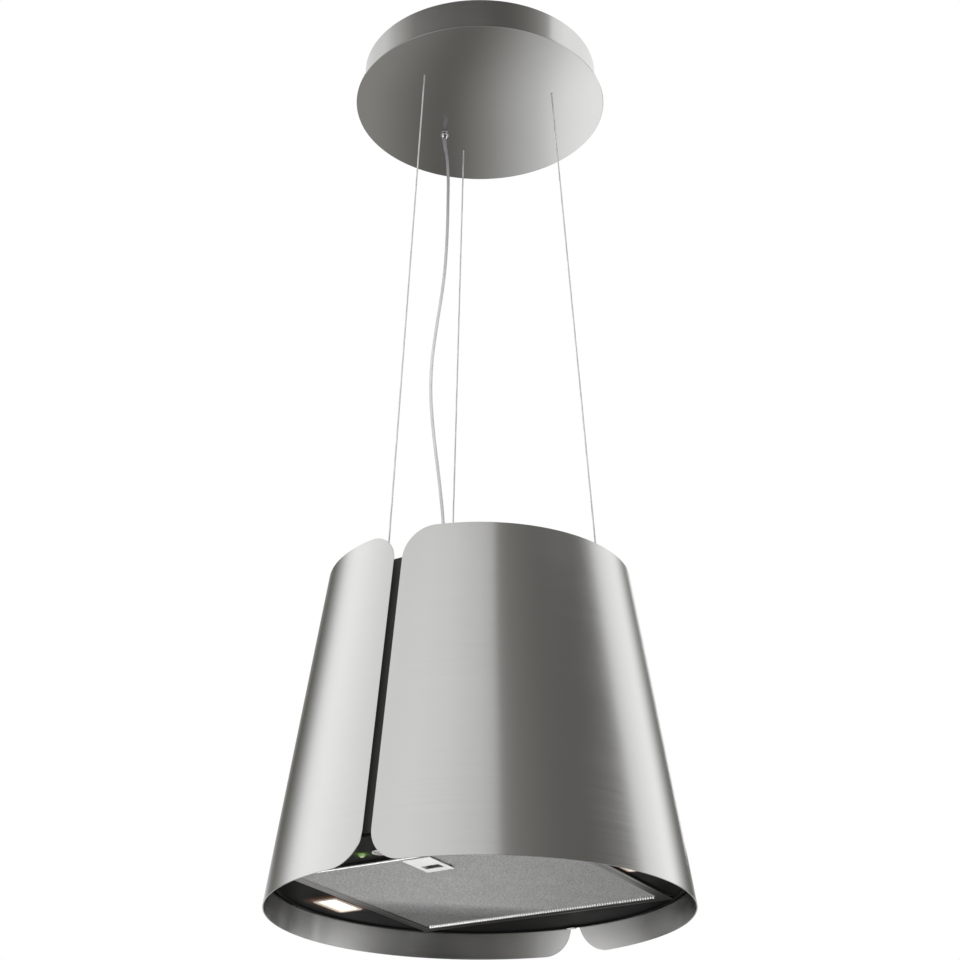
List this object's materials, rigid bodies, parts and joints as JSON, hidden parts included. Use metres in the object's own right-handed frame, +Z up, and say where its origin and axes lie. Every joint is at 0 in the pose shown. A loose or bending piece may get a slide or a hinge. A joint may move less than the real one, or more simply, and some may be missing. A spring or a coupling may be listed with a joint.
{
  "type": "island range hood",
  "caption": "Round cone-shaped island range hood of two brushed steel petals round a black casing, hung from a ceiling canopy on thin wires.",
  "frame": {"origin": "centre of the ceiling bracket's top face, which lies against the ceiling", "axes": "+Z up towards the ceiling, -Y towards the front slot and the controls, +X to the right seen from the front"},
  "size_m": [0.45, 0.4464, 1.084],
  "materials": {
    "brushed_steel": "horizontally brushed stainless steel",
    "zinc_steel": "dull zinc-plated steel",
    "wire_steel": "thin stranded steel wire",
    "chrome": "polished chrome plating",
    "black_paint": "satin black powder coat",
    "black_plastic": "moulded matt black plastic",
    "grey_plastic": "moulded grey plastic",
    "white_plastic": "smooth white plastic",
    "filter_aluminium": "satin aluminium",
    "fan_plastic": "moulded dark grey plastic",
    "motor_steel": "bare motor casing",
    "carbon": "black activated carbon cassette",
    "lamp_lens": "warm lit frosted diffuser",
    "green_lens": "lit green lens",
    "cord_grey": "grey cable jacket"
  },
  "bodies": {
    "ceiling_canopy": {"ceiling_bracket": "zinc_steel", "canopy_ring": "brushed_steel", "canopy_disc": "brushed_steel", "canopy_screw_1": "zinc_steel", "canopy_screw_2": "zinc_steel", "terminal_box": "white_plastic", "terminal_lid": "white_plastic", "wire_gripper_1": "chrome", "wire_gripper_2": "chrome", "wire_gripper_3": "chrome", "cord_gland_upper": "chrome", "suspension_wire_1": "wire_steel", "suspension_wire_2": "wire_steel", "suspension_wire_3": "wire_steel", "power_cord": "cord_grey"},
    "hood": {"petal_left": "brushed_steel", "petal_right": "brushed_steel", "motor_bracket": "zinc_steel", "blower_strap_left": "zinc_steel", "blower_strap_right": "zinc_steel", "wire_anchor_1": "chrome", "wire_anchor_2": "chrome", "wire_anchor_3": "chrome", "rear_clip": "chrome", "lamp_bezel_left": "chrome", "lamp_bezel_right": "chrome", "button_ring_1": "chrome", "button_ring_2": "chrome", "button_ring_3": "chrome", "button_ring_4": "chrome", "inner_casing": "black_paint", "bottom_panel": "black_paint", "top_plate": "black_paint", "petal_standoff_1": "black_plastic", "petal_standoff_2": "black_plastic", "petal_standoff_3": "black_plastic", "petal_standoff_4": "black_plastic", "cord_gland_lower": "black_plastic", "blower_housing_left": "black_plastic", "blower_housing_right": "black_plastic", "keypad_housing": "black_plastic", "electronics_box": "grey_plastic", "capacitor": "white_plastic", "motor": "motor_steel", "led_module_left": "motor_steel", "led_module_right": "motor_steel", "carbon_filter": "carbon", "lamp_lens_left": "lamp_lens", "lamp_lens_right": "lamp_lens", "indicator_lens": "green_lens"},
    "fan_wheel": {"impeller": "fan_plastic", "motor_shaft": "chrome"},
    "grease_filter": {"filter_frame": "filter_aluminium", "filter_mesh": "filter_aluminium", "latch_plate": "brushed_steel"},
    "filter_latch": {"latch_slider": "black_plastic"},
    "push_button_1": {"button_1": "brushed_steel"},
    "push_button_2": {"button_2": "brushed_steel"},
    "push_button_3": {"button_3": "brushed_steel"},
    "push_button_4": {"button_4": "brushed_steel"}
  },
  "joints": [
    {"name": "height_slide", "type": "slide", "parent": "ceiling_canopy", "child": "hood", "axis": [0, 0, 1], "range_m": [0, 0.25], "deforming": ["suspension_wire_1", "suspension_wire_2", "suspension_wire_3", "power_cord"]},
    {"name": "impeller_spin", "type": "hinge", "parent": "hood", "child": "fan_wheel", "pos_m": [0, 0, -0.909], "axis": [1, 0, 0], "continuous": true},
    {"name": "filter_tilt", "type": "hinge", "parent": "hood", "child": "grease_filter", "pos_m": [0, 0.147, -1.0572], "axis": [1, 0, 0], "range_deg": [0, 75]},
    {"name": "latch_slide", "type": "slide", "parent": "grease_filter", "child": "filter_latch", "axis": [0, 1, 0], "range_m": [0, 0.006], "stiffness_N_per_m": 250, "springref_m": -0.003},
    {"name": "button_press_1", "type": "slide", "parent": "hood", "child": "push_button_1", "axis": [0, 0, 1], "range_m": [0, 0.0015], "stiffness_N_per_m": 400, "springref_m": -0.002},
    {"name": "button_press_2", "type": "slide", "parent": "hood", "child": "push_button_2", "axis": [0, 0, 1], "range_m": [0, 0.0015], "stiffness_N_per_m": 400, "springref_m": -0.002},
    {"name": "button_press_3", "type": "slide", "parent": "hood", "child": "push_button_3", "axis": [0, 0, 1], "range_m": [0, 0.0015], "stiffness_N_per_m": 400, "springref_m": -0.002},
    {"name": "button_press_4", "type": "slide", "parent": "hood", "child": "push_button_4", "axis": [0, 0, 1], "range_m": [0, 0.0015], "stiffness_N_per_m": 400, "springref_m": -0.002}
  ]
}
